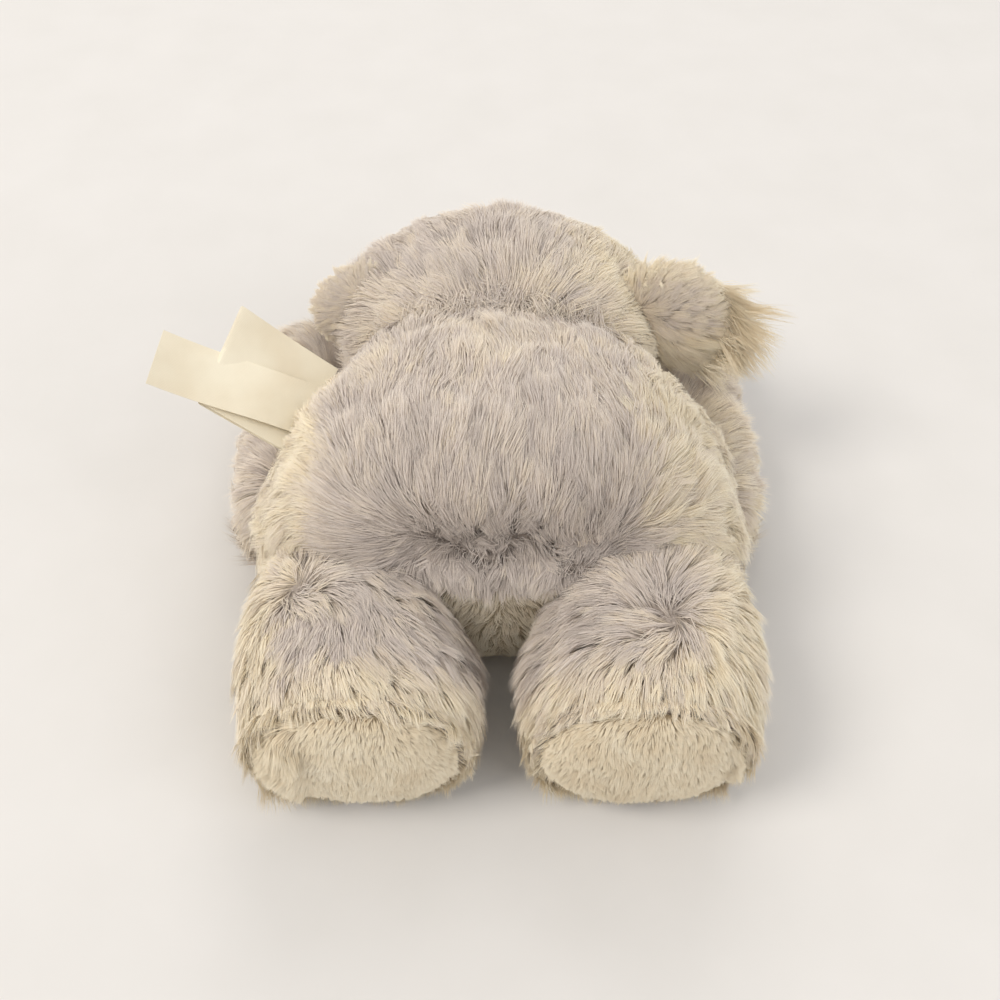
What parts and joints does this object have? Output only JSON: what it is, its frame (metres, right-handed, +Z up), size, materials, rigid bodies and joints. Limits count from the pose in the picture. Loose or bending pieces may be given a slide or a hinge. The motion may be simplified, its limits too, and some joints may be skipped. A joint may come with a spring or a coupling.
{
  "type": "plush koala",
  "caption": "Soft stuffed koala lying on its belly, with grey and cream plush, a head that turns and nods, round ears, arms and legs that swing, and bare labels at its flank.",
  "frame": {"origin": "on the surface it lies on, under the flat of the belly", "axes": "+Z up, +Y from the soles towards the nose, +X towards the koala's right side"},
  "size_m": [0.1825, 0.1938, 0.086],
  "materials": {
    "grey_plush": "long grey pile with pale cream tips",
    "cream_plush": "long cream pile",
    "short_pile": "short cream pile",
    "fibre": "loose polyester fibre",
    "pellet_cloth": "plain woven bag",
    "black_plastic": "polished",
    "washer_plastic": "as moulded",
    "thread": "sewing thread",
    "mouth_thread": "embroidery thread",
    "satin": "bare woven satin"
  },
  "bodies": {
    "torso": {"torso_skin": "grey_plush", "belly_panel": "cream_plush", "torso_seam_thread": "thread", "torso_stuffing": "fibre", "pellet_bag": "pellet_cloth"},
    "neck": {"neck_plug": "fibre"},
    "head": {"head_skin": "grey_plush", "head_stuffing": "fibre", "muzzle_panel": "cream_plush", "nose": "black_plastic", "nose_washer": "washer_plastic", "eye_left": "black_plastic", "eye_left_washer": "washer_plastic", "eye_right": "black_plastic", "eye_right_washer": "washer_plastic", "mouth_stitch": "mouth_thread"},
    "ear_left": {"ear_left_back": "grey_plush", "ear_left_lining": "cream_plush"},
    "ear_right": {"ear_right_back": "grey_plush", "ear_right_lining": "cream_plush"},
    "arm_left": {"arm_left": "grey_plush", "arm_left_stuffing": "fibre"},
    "arm_right": {"arm_right": "grey_plush", "arm_right_stuffing": "fibre"},
    "leg_left": {"leg_left": "grey_plush", "leg_left_stuffing": "fibre", "sole_left": "short_pile"},
    "leg_right": {"leg_right": "grey_plush", "leg_right_stuffing": "fibre", "sole_right": "short_pile"},
    "care_label": {"care_label": "satin"},
    "narrow_label": {"narrow_label": "satin"}
  },
  "joints": [
    {"name": "head_turn", "type": "hinge", "parent": "torso", "child": "neck", "pos_m": [0, 0.049, 0.043], "axis": [0, 0, 1], "range_deg": [-8, 8]},
    {"name": "head_nod", "type": "hinge", "parent": "neck", "child": "head", "pos_m": [0, 0.049, 0.043], "axis": [1, 0, 0], "range_deg": [-5, 7]},
    {"name": "ear_left_fold", "type": "hinge", "parent": "head", "child": "ear_left", "pos_m": [-0.04239, 0.07094, 0.06285], "axis": [0.3961, 0.1982, 0.8966], "range_deg": [-20, 25]},
    {"name": "ear_right_fold", "type": "hinge", "parent": "head", "child": "ear_right", "pos_m": [0.04406, 0.06528, 0.06159], "axis": [0.3441, -0.2376, -0.9084], "range_deg": [-20, 25]},
    {"name": "arm_left_swing", "type": "hinge", "parent": "torso", "child": "arm_left", "pos_m": [-0.0665, 0.0217, 0.0166], "axis": [1, 0, 0], "range_deg": [-60, 4]},
    {"name": "arm_right_swing", "type": "hinge", "parent": "torso", "child": "arm_right", "pos_m": [0.064, 0.0217, 0.0166], "axis": [1, 0, 0], "range_deg": [-60, 4]},
    {"name": "leg_left_swing", "type": "hinge", "parent": "torso", "child": "leg_left", "pos_m": [-0.0395, -0.033, 0.015], "axis": [1, 0, 0], "range_deg": [-6, 50]},
    {"name": "leg_right_swing", "type": "hinge", "parent": "torso", "child": "leg_right", "pos_m": [0.0395, -0.033, 0.015], "axis": [1, 0, 0], "range_deg": [-6, 50]},
    {"name": "care_label_flip", "type": "hinge", "parent": "torso", "child": "care_label", "pos_m": [-0.05477, 0.02254, 0.05887], "axis": [0.3703, 0.8898, 0.2667], "range_deg": [-20, 22]},
    {"name": "narrow_label_flip", "type": "hinge", "parent": "care_label", "child": "narrow_label", "pos_m": [-0.05477, 0.02254, 0.05887], "axis": [0.3703, 0.8898, 0.2667], "range_deg": [0, 30]}
  ]
}
